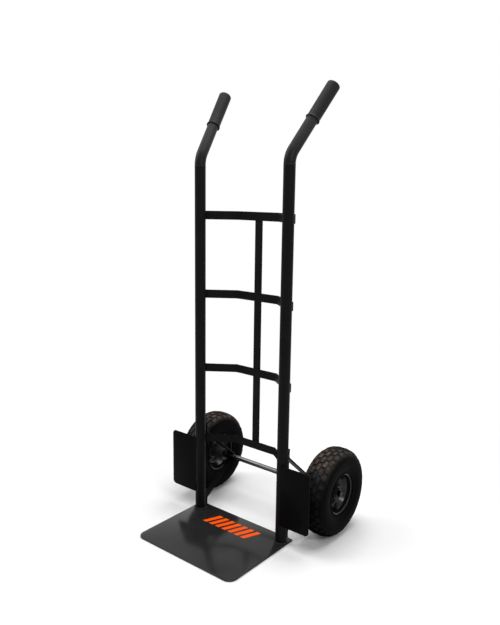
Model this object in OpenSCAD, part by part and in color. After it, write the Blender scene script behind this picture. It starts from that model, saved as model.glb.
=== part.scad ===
// Two-wheeled hand truck: welded tube and flat-bar frame, toe plate, axle on
// V-shaped stays and two wheels with air-filled tyres on bolted steel rims.
// X runs across the truck, +Y towards the wheels and the user, +Z up.
// The origin is on the ground, in the middle of the whole outline.

/* [Posts] */
// Distance between the axes of the two upright posts
post_spacing = 316; // [260:1:380]
// Outside diameter of the posts and of the handle tubes
post_d = 32; // [28:1:36]
// Wall thickness of the tubes
post_wall = 2; // [1.5:0.5:3]
// Height of the joint between post and handle tube
joint_z = 1059; // [1000:1:1150]

/* [Handles] */
// Angle that each handle tube is bent back
handle_bend = 38; // [25:1:50]
// Angle that the bend is turned outwards
handle_flare = 13; // [0:1:20]
// Centre-line radius of the bend
handle_bend_r = 60; // [50:1:90]
// Straight length of the handle tube after its bend
handle_straight = 217; // [180:1:260]
// Length of the reduced end that is pushed into the post
spigot_l = 45; // [30:1:70]
// Length of the thick neck that holds the spigot inside the bend
neck_h = 4; // [3:0.5:6]

/* [Grips] */
// Length of a grip
grip_l = 120; // [100:1:140]
// Wall thickness of the grip sleeve
grip_wall = 2; // [1.5:0.5:4]
// How much the wall thickens towards the closed end
grip_swell = 0.6; // [0:0.1:1.5]
// Thickness of the closed end
grip_end_t = 4.3; // [3:0.1:6]
// Radius of the rounded edge of the closed end
grip_round = 3; // [1:0.5:3]
// How far the flange stands out from the sleeve
flange_out = 2; // [1:0.5:5]
// Thickness of the flange
flange_t = 3; // [2:0.5:5]

/* [Crossbars] */
// Height of a crossbar's flat bar
bar_h = 25; // [20:1:32]
// Thickness of a crossbar's flat bar
bar_t = 4; // [3:0.5:6]
// Distance from the joint down to the middle of the top crossbar
top_bar_drop = 139; // [80:1:180]
// Height of the middle of the bottom crossbar
bottom_bar_z = 231; // [225:1:260]
// Rise from each of the lower crossbars to the next
bar_pitch = 228; // [190:1:240]
// Distance between the two inner kinks of a crossbar
bar_mid = 150; // [110:1:180]
// How far the middle of a crossbar lies behind its ends
bar_setback = 55; // [35:1:70]
// How far a crossbar's end passes the axis of its post
bar_overhang = 9; // [6:1:12]
// Distance from a post's axis to the crossbar's outer kink
bar_kink_in = 6; // [5:1:12]
// Inside radius of the bends in all flat bars
bar_bend_r = 4; // [3:0.5:6]

/* [Centre strut] */
// Width of the upright strip that ties the crossbars
strut_w = 25; // [20:1:40]
// Thickness of that strip
strut_t = 4; // [3:0.5:6]
// Distance from its ends to the edges of the end crossbars
strut_inset = 2; // [0:0.5:6]

/* [Toe plate] */
// How far the plate runs past the axis of each post
plate_side = 22; // [21:1:52]
// Depth of the toe plate from front to back
plate_depth = 275; // [230:1:320]
// Thickness of the toe plate
plate_t = 4; // [3:0.5:6]
// How far the plate passes behind the axes of the posts
plate_behind = 30; // [28:1:45]
// Radius of the front corners
plate_front_r = 25; // [10:1:60]
// Radius of the back corners
plate_back_r = 4; // [2:0.5:15]
// Leg length of the weld around the foot of each post
weld_leg = 4; // [3:0.5:5]

/* [Wheel guards] */
// Width of a guard plate
guard_w = 97; // [80:1:100]
// Height of a guard plate
guard_h = 180; // [140:1:200]
// Height of its lower edge above the ground
guard_z = 61; // [40:1:80]
// Thickness of a guard plate
guard_t = 3; // [2:0.5:4]
// Radius of its outer corners
guard_r = 12; // [5:1:30]
// Distance from the post's axis to its inner edge
guard_inset = 7; // [4:1:10]
// Length of the weld at each end of that edge
guard_weld_l = 32; // [20:1:50]

/* [Axle] */
// Diameter of the axle
axle_d = 16; // [14:1:18]
// Distance from the posts' axes back to the axle
axle_setback = 144; // [142:1:170]
// Length of the axle past the outer end of each hub
axle_end_l = 12; // [11:1:16]
// Chamfer on the ends of the axle
axle_chamfer = 1; // [0.5:0.5:2]
// Thickness of the washer outside each hub
washer_t = 2.5; // [2:0.5:3]
// Outside diameter of that washer
washer_d = 30; // [26:1:34]
// Outside diameter of the spacer inside each hub
spacer_d = 24; // [22:1:30]
// Diameter of the split pin
split_pin_d = 4; // [3:0.5:4]
// Length of the split pin below its eye
split_pin_l = 28; // [24:1:34]
// Angle that each leg of the split pin is spread
split_pin_spread = 35; // [15:1:50]

/* [Axle stays] */
// Width of a stay's flat bar
stay_w = 22; // [18:1:28]
// Thickness of a stay's flat bar
stay_t = 4; // [3:0.5:6]
// Height of a stay's upper kink above the bottom crossbar
stay_bar_gap = 10.5; // [8:0.5:20]
// Length of the end above that kink
stay_top_l = 27; // [18:1:40]
// Length of the foot below its lower kink
stay_foot_l = 20; // [12:1:30]
// Gap between that foot and the weld around the post
stay_foot_gap = 3; // [1:0.5:10]

/* [Tyres] */
// Outside diameter of a tyre over its tread
tyre_d = 260; // [250:1:280]
// Width of a tyre
tyre_w = 82; // [78:1:92]
// Distance from a post's axis out to its tyre's middle
wheel_out = 77; // [72:1:102]
// Thickness of the tyre's wall
tyre_wall = 6; // [5:0.5:8]
// Depth of the tread
tread_depth = 4; // [2:0.5:5]
// Blocks in each ring of the tread
tread_count = 30; // [24:1:36]
// Distance from the outermost blocks to the tyre's side
tread_inset = 3.5; // [3:0.5:8]
// Width of the grooves between blocks
groove_w = 2.4; // [1.5:0.1:4]
// Part of a block's width that is clipped at each corner
block_clip = 0.25; // [0.1:0.05:0.35]

/* [Rims] */
// Radius of the seat that carries the tyre's bead
seat_r = 57; // [54:0.5:60]
// Thickness of the pressed steel
rim_t = 2; // [1.5:0.5:3]
// Distance from the wheel's middle to a flange
flange_x = 30; // [26:1:33]
// Height of the flanges above the seat
flange_h = 7; // [5:0.5:9]
// Width of the seat from the flange to the wall of the dish
seat_w = 13; // [12:0.5:18]
// Inside radius of the curve between each disc and that wall
dish_r = 9; // [4:0.5:10]
// Gap between the bolts' heads and the corner of that curve
dish_gap = 5.5; // [4:0.5:7]
// Rim bolts in each wheel
bolt_count = 4; // [3:1:6]
// Gap between the hub and the flats of the bolts' heads
bolt_gap = 4.5; // [3:0.5:6]
// Diameter of a rim bolt
bolt_d = 8; // [6:1:8]
// Width across the flats of a bolt's head and nut
bolt_flats = 13; // [10:1:14]
// Height of a bolt's head and nut
bolt_head_h = 5.5; // [4:0.5:8]
// How far a bolt's end stands out of its nut
bolt_past = 2; // [1:0.5:5]

/* [Hubs] */
// Wall of the hub tube around its bearings
hub_wall = 2.4; // [2:0.1:4]
// Length of the hub on the side of the stay
hub_in = 55; // [52:1:56]
// Length of the hub on the outer side
hub_out = 20; // [18:1:28]
// Outside diameter of a bearing
bearing_d = 35; // [32:1:35]
// Width of a bearing
bearing_w = 11; // [8:1:12]
// How deep a bearing sits inside the hub's end
bearing_recess = 1; // [0.5:0.5:3]
// Height of the shoulder behind each bearing
bearing_shoulder = 2; // [1:0.5:3]

/* [Valves] */
// Diameter of the valve stem
valve_d = 8; // [6:0.5:9]
// Length of the stem inside the seat
valve_l = 20; // [14:1:24]
// Distance from the wheel's middle to the valve
valve_x = 16; // [14:0.5:18]
// Wall of the valve's cap
cap_wall = 0.9; // [0.5:0.1:2]
// Length of the cap
cap_l = 11; // [8:1:14]
// Thickness of the cap's closed end
cap_end_t = 2; // [1:0.5:3]
// Thickness of the inner tube's rubber
inner_tube_wall = 2; // [1.5:0.5:3]

/* [Clearances] */
// Gap round pieces that are pushed or slid together
fit_gap = 0.1; // [0.05:0.05:0.2]
// Radial gap between bearing and axle
running_gap = 0.05; // [0.02:0.01:0.1]
// Gap between pieces that turn past each other
turn_gap = 0.3; // [0.3:0.1:0.6]

/* [Hidden] */
$fn = 64;
cut = 1; // how far a cutting shape runs past the face it cuts
bend_facet = 5; // angle of each short flat in a bend of flat bar or sheet

post_x = post_spacing / 2;
wheel_x = post_x + wheel_out;
plate_w = post_spacing + 2 * plate_side;
post_r = post_d / 2;
post_in_r = post_r - post_wall;
axle_r = axle_d / 2;
tyre_r = tyre_d / 2;
axle_z = tyre_r;

// The handle's reach behind its post, to place the whole outline
handle_run = handle_bend_r * (1 - cos(handle_bend)) + (handle_straight + grip_end_t) * sin(handle_bend);
grip_r = post_r + fit_gap + grip_wall + grip_swell;
handle_reach = handle_run * cos(handle_flare) + grip_r * cos(handle_bend);
front_reach = plate_depth - plate_behind;
rear_reach = max(axle_setback + tyre_r, handle_reach);
post_y = (front_reach - rear_reach) / 2;
axle_y = post_y + axle_setback;

// Heights of the crossbars, from the bottom up
top_bar_z = joint_z - top_bar_drop;
bar_heights = [bottom_bar_z, bottom_bar_z + bar_pitch, bottom_bar_z + 2 * bar_pitch, top_bar_z];
bar_front_y = post_y + post_r;
bar_bend = bar_bend_r + bar_t / 2;
bar_angle = atan2(bar_setback, post_x - bar_kink_in - bar_mid / 2);

// Heights of a stay's kinks
stay_kink_z = bottom_bar_z + bar_h / 2 + stay_bar_gap;
stay_foot_z = plate_t + weld_leg + stay_foot_gap + stay_foot_l;

// Across the hub: stay, spacer, hub, washer, split pin, end of the axle
stay_outer_x = post_x + stay_w / 2;
hub_inner_x = wheel_x - hub_in;
hub_outer_x = wheel_x + hub_out;
washer_x = hub_outer_x + turn_gap;
split_pin_x = washer_x + washer_t + split_pin_d / 2 + fit_gap;
axle_half = hub_outer_x + axle_end_l;

// Radii in the rim, from the hub out: bolt circle, corner of the dish, seat, edge
hub_r = bearing_d / 2 + fit_gap + hub_wall;
bolt_circle_r = hub_r + bolt_gap + bolt_flats / 2;
bolt_corner_r = bolt_flats / 2 / cos(30);
rim_bend = rim_t * 1.5;
dish_bend = dish_r + rim_t / 2;
seat_line = seat_r - rim_t / 2;
dish_corner = bolt_circle_r + bolt_corner_r + dish_gap;
rim_r = seat_r + flange_h;

// The tyre's section is a superellipse about its widest place
section_power = 0.76;
section_drop = 1.5; // how far its widest place lies under half height
section_r = (tyre_r + seat_r) / 2 - section_drop;
section_h = tyre_r - section_r;
carcass_h = section_h - tread_depth;
cavity_a = tyre_w / 2 - tyre_wall;
cavity_b = carcass_h - tyre_wall;
tread_rows = [-2, -1, 0, 1, 2];
tread_row = (tyre_w - 2 * tread_inset) / len(tread_rows);
block_root = 1.5; // how far the blocks reach into the carcass
row_draw = 0.02; // how much closer the rings lie towards the shoulders
bead_w = tyre_wall + 3; // width of the carcass that rests on the seat

function power(v, p) = sign(v) * pow(abs(v), p);
// A point of a superellipse with half axes a and b about the section's middle
function section_point(a, b, t) = [
    section_r + b * power(sin(t), section_power),
    a * power(cos(t), section_power)
];
function section(a, b, steps) = [for (i = [0 : steps - 1]) section_point(a, b, 360 * i / steps)];

// Mirrors a right-hand piece to the left when side is -1
module on_side(side) {
    if (side > 0) children();
    else mirror([1, 0, 0]) children();
}

// Stands a profile drawn in X and Y up in the truck's Y and Z, extruded along X
module side_profile(w) {
    rotate([90, 0, 90]) translate([0, 0, -w / 2]) linear_extrude(w) children();
}

// Turns a shape made about Z so that it lies about the right wheel's axis
module at_wheel() {
    translate([wheel_x, axle_y, axle_z]) rotate([0, 90, 0]) children();
}

module ring(outer_r, inner_r, h) {
    difference() {
        cylinder(r = outer_r, h = h);
        translate([0, 0, -cut]) cylinder(r = inner_r, h = h + 2 * cut);
    }
}

// Points and headings along the middle of bent flat steel, made of straight runs
// joined by arcs: turns are the angles between runs, radii the arcs' radii
function bar_line(runs, turns, radii, i = 0, p = [0, 0], a = 0) =
    let (q = p + runs[i] * [cos(a), sin(a)])
    i == len(turns) ? [[p, a], [q, a]] :
    let (
        side = sign(turns[i]),
        centre = q + side * radii[i] * [-sin(a), cos(a)],
        n = ceil(abs(turns[i]) / bend_facet),
        arc = [
            for (k = [0 : n]) let (b = a + turns[i] * k / n)
                [centre + side * radii[i] * [sin(b), -cos(b)], b]
        ],
        rest = bar_line(runs, turns, radii, i + 1, arc[n][0], arc[n][1])
    )
    concat([[p, a]], [for (k = [0 : n - 1]) arc[k]], rest);

// Bent flat steel seen on edge, with its bends in short flats
module bent_bar(runs, turns, radii, thick) {
    line = bar_line(runs, turns, radii);
    polygon([
        for (s = line) s[0] + thick / 2 * [-sin(s[1]), cos(s[1])],
        for (k = [len(line) - 1 : -1 : 0]) line[k][0] + thick / 2 * [sin(line[k][1]), -cos(line[k][1])]
    ]);
}

module post() {
    color("#1b1b1c") translate([post_x, post_y, plate_t])
        ring(post_r, post_in_r, joint_z - plate_t);
}

// Puts children at the joint, with the bend's plane turned outwards
module at_handle() {
    translate([post_x, post_y, joint_z]) rotate([0, 0, -handle_flare]) children();
}

// Puts children where the bend ends, with +Z along the straight part
module at_handle_straight() {
    at_handle() translate([0, handle_bend_r * (1 - cos(handle_bend)), handle_bend_r * sin(handle_bend)])
        rotate([-handle_bend, 0, 0]) children();
}

module handle_tube() {
    spigot_r = post_in_r - fit_gap;
    color("#2a2a2c") union() {
        at_handle_straight() {
            ring(post_r, post_in_r, handle_straight);
            translate([0, handle_bend_r, 0]) rotate([90, 0, 90]) rotate(180)
                rotate_extrude(angle = handle_bend) translate([handle_bend_r, 0]) difference() {
                    circle(r = post_r);
                    circle(r = post_in_r);
                }
        }
        at_handle() rotate_extrude() {
            translate([spigot_r - post_wall, -spigot_l]) square([post_wall, spigot_l + neck_h]);
            translate([spigot_r - post_wall, neck_h / 4])
                square([1.5 * post_wall + fit_gap, neck_h * 3 / 4]);
        }
    }
}

module grip() {
    inner_r = post_r + fit_gap;
    low_r = inner_r + grip_wall;
    high_r = low_r + grip_swell;
    top = grip_l - grip_round;
    color("#3b3b3e") at_handle_straight() translate([0, 0, handle_straight + grip_end_t - grip_l])
        rotate_extrude() difference() {
            union() {
                square([low_r + flange_out, flange_t]);
                polygon([[0, 0], [low_r, 0], [high_r, top], [0, top]]);
                translate([0, top]) square([high_r - grip_round, grip_round]);
                translate([high_r - grip_round, top]) intersection() {
                    circle(r = grip_round);
                    square(grip_round);
                }
            }
            translate([-cut, -cut]) square([inner_r + cut, grip_l - grip_end_t + cut]);
        }
}

// Hat-shaped flat bar: its ends lie on the backs of the posts
module crossbar(level) {
    vertex = bar_bend * tan(bar_angle / 2);
    span = post_x - bar_kink_in - bar_mid / 2;
    tab = bar_overhang + bar_kink_in - vertex;
    leg = span / cos(bar_angle) - 2 * vertex;
    middle = bar_mid - 2 * vertex;
    low = bar_heights[level] - bar_h / 2;
    color("#1b1b1c") translate([-post_x - bar_overhang, bar_front_y + bar_t / 2, low])
        linear_extrude(bar_h) bent_bar(
            [tab, leg, middle, leg, tab],
            [bar_angle, -bar_angle, -bar_angle, bar_angle],
            [bar_bend, bar_bend, bar_bend, bar_bend], bar_t);
}

module centre_strut() {
    low = bottom_bar_z - bar_h / 2 + strut_inset;
    high = top_bar_z + bar_h / 2 - strut_inset;
    color("#1b1b1c") translate([-strut_w / 2, bar_front_y + bar_setback + bar_t, low])
        cube([strut_w, strut_t, high - low]);
}

// Rectangle about the Y axis from y0 to y1, with its own radius at each end
module plate_outline(w, y0, y1, r0, r1) {
    for (side = [-1, 1]) {
        translate([side * (w / 2 - r0), y0 + r0]) circle(r = r0);
        translate([side * (w / 2 - r1), y1 - r1]) circle(r = r1);
    }
    translate([-w / 2, y0 + r0]) square([w, y1 - r1 - y0 - r0]);
    translate([-w / 2 + r0, y0]) square([w - 2 * r0, r0]);
    translate([-w / 2 + r1, y1 - r1]) square([w - 2 * r1, r1]);
}

module toe_plate() {
    front_y = post_y - front_reach;
    back_y = post_y + plate_behind;
    color("#38383a") union() {
        linear_extrude(plate_t) plate_outline(plate_w, front_y, back_y, plate_front_r, plate_back_r);
        for (side = [-1, 1]) translate([side * post_x, post_y, plate_t]) difference() {
            cylinder(r1 = post_r + weld_leg, r2 = post_r + fit_gap, h = weld_leg);
            translate([0, 0, -cut]) cylinder(r = post_r + fit_gap, h = weld_leg + 2 * cut);
        }
    }
}

// Flat plate on the front of a post, welded along its inner edge at both ends
module guard() {
    back_y = -sqrt(post_r * post_r - guard_inset * guard_inset);
    color("#232325") translate([post_x, post_y, guard_z]) union() {
        translate([guard_inset, back_y, 0]) rotate([90, 0, 0]) linear_extrude(guard_t) {
            square([guard_w - guard_r, guard_h]);
            translate([0, guard_r]) square([guard_w, guard_h - 2 * guard_r]);
            for (z = [guard_r, guard_h - guard_r]) translate([guard_w - guard_r, z]) circle(r = guard_r);
        }
        for (z = [0, guard_h - guard_weld_l]) translate([0, 0, z]) difference() {
            translate([guard_inset, back_y - guard_t / 2, 0]) cylinder(r = guard_t, h = guard_weld_l);
            translate([0, 0, -cut]) cylinder(r = post_r, h = guard_weld_l + 2 * cut);
        }
    }
}

// V-shaped flat bar: down the back of the post, back to the axle, round behind
// it, forward to the post and down again
module axle_stay() {
    bend = bar_bend_r + stay_t / 2;
    wrap = axle_r + fit_gap + stay_t / 2;
    tab_y = post_y + post_r + stay_t / 2;
    reach = axle_y - tab_y;
    upper = stay_kink_z - axle_z;
    lower = axle_z - stay_foot_z;
    upper_d = norm([reach, upper]);
    lower_d = norm([reach, lower]);
    upper_angle = atan2(-upper, reach) + asin(wrap / upper_d);
    lower_angle = atan2(lower, reach) - asin(wrap / lower_d);
    upper_turn = 90 + upper_angle;
    lower_turn = 90 - lower_angle;
    upper_vertex = bend * tan(upper_turn / 2);
    lower_vertex = bend * tan(lower_turn / 2);
    color("#1b1b1c") translate([post_x, tab_y, stay_kink_z + stay_top_l]) side_profile(stay_w) rotate(-90)
        bent_bar(
            [
                stay_top_l - upper_vertex,
                sqrt(upper_d * upper_d - wrap * wrap) - upper_vertex,
                sqrt(lower_d * lower_d - wrap * wrap) - lower_vertex,
                stay_foot_l - lower_vertex
            ],
            [upper_turn, -(180 + upper_angle - lower_angle), lower_turn],
            [bend, wrap, bend], stay_t);
}

module axle() {
    color("#9a9c9f") translate([0, axle_y, axle_z]) difference() {
        rotate([0, 90, 0]) rotate_extrude() polygon([
            [0, -axle_half], [axle_r - axle_chamfer, -axle_half], [axle_r, -axle_half + axle_chamfer],
            [axle_r, axle_half - axle_chamfer], [axle_r - axle_chamfer, axle_half], [0, axle_half]
        ]);
        for (side = [-1, 1]) translate([side * split_pin_x, 0, -axle_d])
            cylinder(d = split_pin_d + 2 * fit_gap, h = 2 * axle_d);
    }
}

module spacer() {
    color("#3a3b3d") translate([stay_outer_x, axle_y, axle_z]) rotate([0, 90, 0])
        ring(spacer_d / 2, axle_r + fit_gap, hub_inner_x - turn_gap - stay_outer_x);
}

module washer() {
    color("#9a9c9f") translate([washer_x, axle_y, axle_z]) rotate([0, 90, 0])
        ring(washer_d / 2, axle_r + fit_gap, washer_t);
}

// The eye stands on top of the axle and the two legs spread under it
module split_pin() {
    eye_r = split_pin_d * 0.8;
    wire_r = split_pin_d / 4;
    shank = axle_d + 2 * wire_r;
    spread = split_pin_l - shank;
    color("#9a9c9f") translate([split_pin_x, axle_y, axle_z]) union() {
        translate([0, 0, -shank / 2]) cylinder(d = split_pin_d, h = shank);
        translate([0, 0, shank / 2 + eye_r]) rotate([0, 90, 0])
            rotate_extrude() translate([eye_r, 0]) circle(r = wire_r);
        for (side = [-1, 1]) translate([0, side * wire_r, -shank / 2])
            rotate([180 + split_pin_spread * side, 0, 0]) cylinder(r = wire_r, h = spread);
    }
}

// Centre line of a pressed rim half: flat disc, sloping wall of the dish, seat and
// flange, with the radius along X and the distance from the wheel's middle along Y
module rim_profile(thick) {
    hole = hub_r + fit_gap;
    wall = [seat_line - dish_corner, flange_x - seat_w];
    dish_angle = atan2(wall[1], wall[0]);
    half_dish = dish_bend * tan(dish_angle / 2);
    half_turn = rim_bend * tan((90 - dish_angle) / 2);
    translate([hole, rim_t / 2]) bent_bar(
        [
            dish_corner - hole - half_dish,
            norm(wall) - half_dish - half_turn,
            seat_w - half_turn - rim_bend,
            rim_r - seat_line - rim_bend
        ],
        [dish_angle, 90 - dish_angle, -90],
        [dish_bend, rim_bend, rim_bend], thick);
}

// Rounded bead along the edge of a rim half
module rim_edge(extra) {
    translate([rim_r - rim_t * 0.6, flange_x + rim_t * 0.85]) circle(r = rim_t + extra);
}

module rim_half(valve_hole) {
    difference() {
        union() {
            rotate_extrude() rim_profile(rim_t);
            rotate_extrude() rim_edge(0);
        }
        for (i = [0 : bolt_count - 1]) rotate(360 * (i + 0.5) / bolt_count)
            translate([bolt_circle_r, 0, -cut]) cylinder(d = bolt_d + 2 * fit_gap, h = rim_t + 2 * cut);
        if (valve_hole) translate([dish_corner, 0, valve_x]) rotate([0, 90, 0])
            cylinder(d = valve_d + 2 * fit_gap, h = seat_r - dish_corner);
    }
}

module outer_rim() {
    color("#202022") at_wheel() rim_half(true);
}

module inner_rim() {
    color("#202022") at_wheel() mirror([0, 0, 1]) rim_half(false);
}

module rim_bolts() {
    color("#77797c") at_wheel() for (i = [0 : bolt_count - 1]) rotate(360 * (i + 0.5) / bolt_count)
        translate([bolt_circle_r, 0, 0]) union() {
            translate([0, 0, -rim_t - bolt_head_h - bolt_past])
                cylinder(d = bolt_d, h = 2 * rim_t + bolt_head_h + bolt_past + cut);
            for (z = [rim_t, -rim_t - bolt_head_h]) translate([0, 0, z])
                cylinder(r = bolt_corner_r, h = bolt_head_h, $fn = 6);
        }
}

module hub() {
    bore_r = bearing_d / 2 + fit_gap;
    seat_l = bearing_w + bearing_recess;
    color("#1d1d1f") translate([hub_inner_x, axle_y, axle_z]) rotate([0, 90, 0]) difference() {
        cylinder(r = hub_r, h = hub_in + hub_out);
        translate([0, 0, -cut]) cylinder(r = bore_r, h = seat_l + cut);
        translate([0, 0, hub_in + hub_out - seat_l]) cylinder(r = bore_r, h = seat_l + cut);
        cylinder(r = bore_r - bearing_shoulder, h = hub_in + hub_out);
    }
}

// Shielded ball bearing, one in each end of the hub
module hub_bearings() {
    inner_r = axle_r + running_gap;
    outer_r = bearing_d / 2;
    groove = (outer_r - inner_r) / 4;
    color("#8c8e91") for (x = [hub_inner_x + bearing_recess, hub_outer_x - bearing_recess - bearing_w])
        translate([x, axle_y, axle_z]) rotate([0, 90, 0]) rotate_extrude() difference() {
            translate([inner_r, 0]) square([outer_r - inner_r, bearing_w]);
            for (y = [-0.5, bearing_w - 0.5]) translate([inner_r + groove, y]) square([2 * groove, 1]);
        }
}

// Radius and slope of the tread's outer face at a distance from the middle
function crown_t(x) = acos(pow(x / (tyre_w / 2), 1 / section_power));
function crown_r(x) = section_point(tyre_w / 2, section_h, crown_t(abs(x)))[0];
function crown_tilt(x) = atan2(crown_r(x + 0.5) - crown_r(x - 0.5), 1);

// One ring of the tread, cut across into blocks with clipped corners
module tread_ring(row) {
    x = row * tread_row * (1 - row_draw * abs(row));
    lean = -crown_tilt(x);
    w = tread_row - groove_w;
    h = tread_depth + block_root;
    near = [w / 2 - w * block_clip, groove_w / 2];
    far = [w / 2 + cut, near[1] + w * block_clip + cut];
    difference() {
        rotate_extrude() polygon([
            [crown_r(x - w / 2), x - w / 2], [crown_r(x), x], [crown_r(x + w / 2), x + w / 2],
            [crown_r(x + w / 2) - h * cos(lean), x + w / 2 - h * sin(lean)],
            [crown_r(x - w / 2) - h * cos(lean), x - w / 2 - h * sin(lean)]
        ]);
        for (i = [0 : tread_count - 1]) rotate(360 / tread_count * (i + 0.5 - 0.5 * abs(row % 2)))
            translate([crown_r(x), 0, x]) rotate([0, 90 - lean, 0]) translate([0, 0, -h - cut])
            linear_extrude(h + 2 * cut) polygon([
                [-far[0], -far[1]], [-near[0], -near[1]], [near[0], -near[1]], [far[0], -far[1]],
                [far[0], far[1]], [near[0], near[1]], [-near[0], near[1]], [-far[0], far[1]]
            ]);
    }
}

module tyre_body() {
    rotate_extrude() difference() {
        polygon(section(tyre_w / 2, carcass_h, 64));
        polygon(section(cavity_a, cavity_b, 48));
        translate([0, -tyre_w]) square([seat_r + fit_gap, 2 * tyre_w]);
        translate([0, bead_w - flange_x]) square([section_r, 2 * (flange_x - bead_w)]);
        for (flip = [0, 1]) mirror([0, flip]) {
            rim_profile(rim_t + 2 * fit_gap);
            rim_edge(fit_gap);
            translate([0, flange_x - fit_gap]) square([rim_r - rim_t, rim_t * 3]);
        }
    }
}

module tyre() {
    color("#2b2a29") at_wheel() union() {
        tyre_body();
        for (row = tread_rows) tread_ring(row);
    }
}

module inner_tube() {
    outer = [cavity_a - turn_gap, cavity_b - turn_gap];
    color("#1f1f20") at_wheel() difference() {
        union() {
            rotate_extrude() polygon(section(outer[0], outer[1], 40));
            translate([seat_r - rim_t - valve_l, 0, valve_x]) rotate([0, 90, 0])
                cylinder(d = valve_d, h = section_r - outer[1] * 0.7 - seat_r + rim_t + valve_l);
        }
        rotate_extrude() polygon(section(outer[0] - inner_tube_wall, outer[1] - inner_tube_wall, 40));
    }
}

module valve_cap() {
    bore_r = valve_d / 2 + fit_gap;
    color("#141415") at_wheel() translate([seat_r - rim_t - valve_l - cap_end_t, 0, valve_x])
        rotate([0, 90, 0]) difference() {
            cylinder(r = bore_r + cap_wall, h = cap_l);
            translate([0, 0, cap_end_t]) cylinder(r = bore_r, h = cap_l);
        }
}

on_side(-1) post();  // left_post
on_side(1) post();  // right_post
on_side(-1) handle_tube();  // left_handle_tube
on_side(1) handle_tube();  // right_handle_tube
on_side(-1) grip();  // left_grip
on_side(1) grip();  // right_grip
crossbar(0);  // bottom_crossbar
crossbar(1);  // lower_crossbar
crossbar(2);  // upper_crossbar
crossbar(3);  // top_crossbar
centre_strut();
toe_plate();
on_side(-1) guard();  // left_guard
on_side(1) guard();  // right_guard
on_side(-1) axle_stay();  // left_axle_stay
on_side(1) axle_stay();  // right_axle_stay
axle();
on_side(-1) spacer();  // left_spacer
on_side(1) spacer();  // right_spacer
on_side(-1) washer();  // left_washer
on_side(1) washer();  // right_washer
on_side(-1) split_pin();  // left_split_pin
on_side(1) split_pin();  // right_split_pin
on_side(-1) tyre();  // left_tyre
on_side(1) tyre();  // right_tyre
on_side(-1) inner_tube();  // left_inner_tube
on_side(1) inner_tube();  // right_inner_tube
on_side(-1) valve_cap();  // left_valve_cap
on_side(1) valve_cap();  // right_valve_cap
on_side(-1) outer_rim();  // left_outer_rim
on_side(1) outer_rim();  // right_outer_rim
on_side(-1) inner_rim();  // left_inner_rim
on_side(1) inner_rim();  // right_inner_rim
on_side(-1) rim_bolts();  // left_rim_bolts
on_side(1) rim_bolts();  // right_rim_bolts
on_side(-1) hub();  // left_hub
on_side(1) hub();  // right_hub
on_side(-1) hub_bearings();  // left_hub_bearings
on_side(1) hub_bearings();  // right_hub_bearings
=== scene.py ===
# Two-wheeled hand truck: welded tube and flat-bar frame, toe plate, V-shaped axle
# stays, and two block-tread wheels on pressed steel rims.
# X runs across the truck, +Y back towards the wheels, +Z up; all sizes are metres.
from math import asin, atan2, cos, hypot, pi, radians, sin, sqrt, tan

import bmesh
import bpy
from mathutils import Euler, Matrix, Vector


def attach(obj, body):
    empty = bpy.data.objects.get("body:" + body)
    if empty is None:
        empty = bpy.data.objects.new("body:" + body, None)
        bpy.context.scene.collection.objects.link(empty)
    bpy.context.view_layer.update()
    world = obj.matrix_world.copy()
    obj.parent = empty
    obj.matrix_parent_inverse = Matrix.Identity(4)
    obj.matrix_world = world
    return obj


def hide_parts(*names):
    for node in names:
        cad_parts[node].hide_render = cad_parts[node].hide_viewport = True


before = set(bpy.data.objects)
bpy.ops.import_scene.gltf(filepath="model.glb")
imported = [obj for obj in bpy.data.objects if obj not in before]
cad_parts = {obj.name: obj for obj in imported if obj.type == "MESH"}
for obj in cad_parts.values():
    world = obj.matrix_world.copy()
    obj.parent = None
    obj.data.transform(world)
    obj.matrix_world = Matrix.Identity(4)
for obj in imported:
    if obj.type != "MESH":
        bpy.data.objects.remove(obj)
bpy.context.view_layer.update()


# Studio: a pale floor that melts into a white backdrop, a wide lamp overhead for the
# tops of the tubes, a second one high on the left, and a small one at the front right.
class Value:
    """A socket of a finish, so that masks and mixes are written as sums."""

    def __init__(self, finish, socket):
        self.finish, self.socket = finish, socket

    def __add__(self, other):
        return self.finish.math("ADD", self, other)

    def __radd__(self, other):
        return self.finish.math("ADD", other, self)

    def __sub__(self, other):
        return self.finish.math("SUBTRACT", self, other)

    def __rsub__(self, other):
        return self.finish.math("SUBTRACT", other, self)

    def __mul__(self, other):
        return self.finish.math("MULTIPLY", self, other)

    def __rmul__(self, other):
        return self.finish.math("MULTIPLY", other, self)

    def __abs__(self):
        return self.finish.math("ABSOLUTE", self)


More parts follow.
